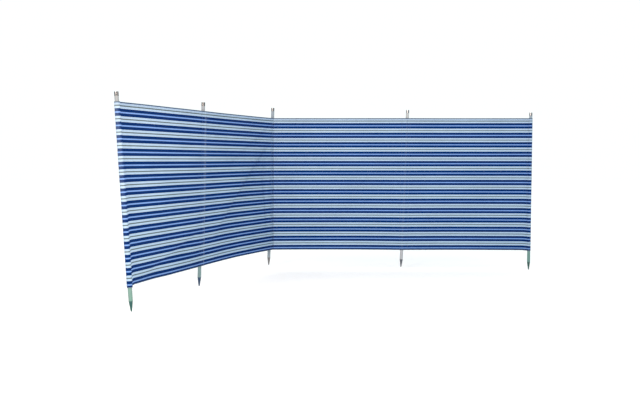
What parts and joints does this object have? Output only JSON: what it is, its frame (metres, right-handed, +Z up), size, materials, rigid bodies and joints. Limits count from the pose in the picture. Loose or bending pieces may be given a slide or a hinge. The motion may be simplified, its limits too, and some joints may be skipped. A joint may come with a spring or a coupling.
{
  "type": "beach windbreak",
  "caption": "Beach windbreak: a long strip of striped canvas sleeved on pointed wooden posts, standing folded at its corner post.",
  "frame": {"origin": "centre of the blunt foot of the corner post, where the two wings meet", "axes": "+Z up; +X horizontal along the right wing; the left wing comes forward towards -Y, so -Y of the right wing is the sheltered side"},
  "size_m": [3.2389, 2.2252, 1.4632],
  "materials": {
    "post_wood": "turned softwood, weathered pale grey with a faint green cast",
    "ferrule_steel": "galvanised, dull",
    "striped_canvas": "woven cotton canvas in navy, light blue, white and grey stripes"
  },
  "bodies": {
    "corner_section": {"corner_post": "post_wood", "corner_ferrule": "ferrule_steel", "corner_sleeve": "striped_canvas", "right_inner_post": "post_wood", "right_inner_ferrule": "ferrule_steel", "right_inner_sleeve": "striped_canvas", "right_inner_bay": "striped_canvas", "right_inner_top_hem": "striped_canvas", "right_inner_bottom_hem": "striped_canvas"},
    "left_inner_section": {"left_inner_post": "post_wood", "left_inner_ferrule": "ferrule_steel", "left_inner_sleeve": "striped_canvas", "left_inner_bay": "striped_canvas", "left_inner_top_hem": "striped_canvas", "left_inner_bottom_hem": "striped_canvas"},
    "left_end_section": {"left_end_post": "post_wood", "left_end_ferrule": "ferrule_steel", "left_end_sleeve": "striped_canvas", "left_end_bay": "striped_canvas", "left_end_top_hem": "striped_canvas", "left_end_bottom_hem": "striped_canvas"},
    "right_end_section": {"right_end_post": "post_wood", "right_end_ferrule": "ferrule_steel", "right_end_sleeve": "striped_canvas", "right_end_bay": "striped_canvas", "right_end_top_hem": "striped_canvas", "right_end_bottom_hem": "striped_canvas"}
  },
  "joints": [
    {"name": "corner_fold", "type": "hinge", "parent": "corner_section", "child": "left_inner_section", "pos_m": [0.02162, 0, 0.7285], "axis": [0.0297, 0, 0.9996], "range_deg": [-157, 23]},
    {"name": "left_fold", "type": "hinge", "parent": "left_inner_section", "child": "left_end_section", "pos_m": [-0.45116, -1.11381, 0.7285], "axis": [0.0297, 0, 0.9996], "range_deg": [-95, 85]},
    {"name": "right_fold", "type": "hinge", "parent": "corner_section", "child": "right_end_section", "pos_m": [1.23162, 0, 0.7285], "axis": [-0.0384, 0, -0.9993], "range_deg": [-90, 90]}
  ]
}
